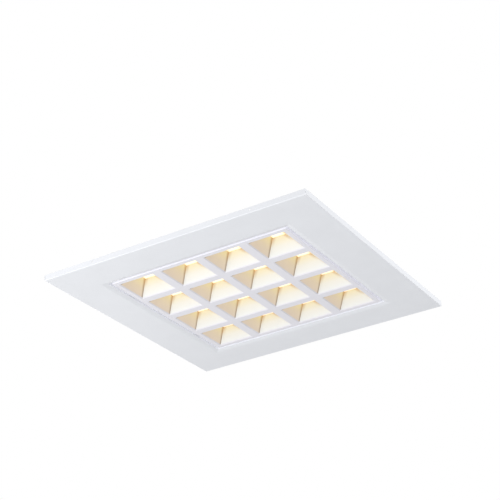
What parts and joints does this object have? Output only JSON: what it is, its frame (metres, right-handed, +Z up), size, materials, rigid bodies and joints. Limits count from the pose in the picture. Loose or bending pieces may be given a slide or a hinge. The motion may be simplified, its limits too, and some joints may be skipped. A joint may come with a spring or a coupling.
{
  "type": "recessed troffer light",
  "caption": "Square recessed troffer light for a ceiling grid, with a drop-down square-cell louvre, light boards behind an opal sheet and a wiring box on the back.",
  "frame": {"origin": "middle of the flat face, on the plane that rests on the ceiling grid", "axes": "+Z up into the ceiling void, the face looks down to -Z, +X from the louvre hinge to its catches"},
  "size_m": [0.595, 0.595, 0.0832],
  "materials": {
    "frame_white": "smooth satin powder coat",
    "louvre_white": "moulded white plastic with a soft gloss",
    "reflector_cream": "moulded warm white, soft gloss",
    "opal": "milky opal sheet",
    "galvanised": "galvanised sheet with a fine spangle",
    "box_white": "satin white powder coat",
    "zinc": "bright zinc plate",
    "spring_steel": "blued strip",
    "aluminium_sheet": "rolled mill finish",
    "board_white": "white solder mask",
    "chip_yellow": "phosphor under clear resin",
    "connector_white": "moulded nylon",
    "driver_white": "fine spark finish",
    "block_grey": "moulded nylon",
    "brass_plate": "turned brass",
    "copper_tin": "tinned copper",
    "live_brown": "smooth insulation",
    "neutral_blue": "smooth insulation",
    "earth_green": "smooth insulation, green and yellow",
    "lead_white": "smooth insulation",
    "black_rubber": "soft moulded rubber"
  },
  "bodies": {
    "housing": {"board_connectors": "connector_white", "board_screws": "zinc", "box_end_in": "box_white", "box_end_out": "box_white", "box_screws": "zinc", "bracket_rivets": "zinc", "cover_pin": "zinc", "driver_box": "box_white", "driver_cap_in": "driver_white", "driver_cap_out": "driver_white", "driver_case": "driver_white", "earth_lead": "earth_green", "earth_screw": "zinc", "earth_tag": "copper_tin", "entry_grommet": "black_rubber", "entry_plug": "black_rubber", "eye_rivets": "zinc", "frame_studs": "zinc", "front_frame": "frame_white", "gear_screws": "zinc", "hinge_bracket_1": "galvanised", "hinge_bracket_2": "galvanised", "led_board_1": "board_white", "led_board_2": "board_white", "led_board_3": "board_white", "led_board_4": "board_white", "led_chips": "chip_yellow", "led_plate": "aluminium_sheet", "link_leads": "lead_white", "live_lead": "live_brown", "neutral_lead": "neutral_blue", "output_lead": "lead_white", "plate_screws": "zinc", "terminal_block": "block_grey", "terminal_screws": "brass_plate", "tray": "galvanised", "tray_ends": "galvanised", "tray_grommet": "black_rubber", "tray_nuts": "zinc", "wire_eye_1": "galvanised", "wire_eye_2": "galvanised", "wire_eye_3": "galvanised", "wire_eye_4": "galvanised"},
    "louvre": {"reflector_strip_1": "reflector_cream", "reflector_strip_2": "reflector_cream", "reflector_strip_3": "reflector_cream", "reflector_strip_4": "reflector_cream", "louvre": "louvre_white", "diffuser": "opal", "diffuser_screws": "zinc", "hinge_pin_1": "zinc", "hinge_pin_2": "zinc", "catch_case_1": "louvre_white", "catch_case_2": "louvre_white", "catch_screws": "zinc", "catch_spring_1": "spring_steel", "catch_spring_2": "spring_steel"},
    "catch_bolt_1": {"catch_bolt_1": "connector_white"},
    "catch_bolt_2": {"catch_bolt_2": "connector_white"},
    "cover": {"driver_cover": "box_white"}
  },
  "joints": [
    {"name": "louvre_hinge", "type": "hinge", "parent": "housing", "child": "louvre", "pos_m": [-0.2005, 0, 0.007], "axis": [0, 1, 0], "range_deg": [0, 90]},
    {"name": "catch_slide_1", "type": "slide", "parent": "louvre", "child": "catch_bolt_1", "axis": [-1, 0, 0], "range_m": [0, 0.003], "stiffness_N_per_m": 600, "springref_m": -0.003, "deforming": ["catch_spring_1"]},
    {"name": "catch_slide_2", "type": "slide", "parent": "louvre", "child": "catch_bolt_2", "axis": [-1, 0, 0], "range_m": [0, 0.003], "stiffness_N_per_m": 600, "springref_m": -0.003, "deforming": ["catch_spring_2"]},
    {"name": "cover_hinge", "type": "hinge", "parent": "housing", "child": "cover", "pos_m": [0, 0.0546, 0.0808], "axis": [-1, 0, 0], "range_deg": [0, 110]}
  ]
}
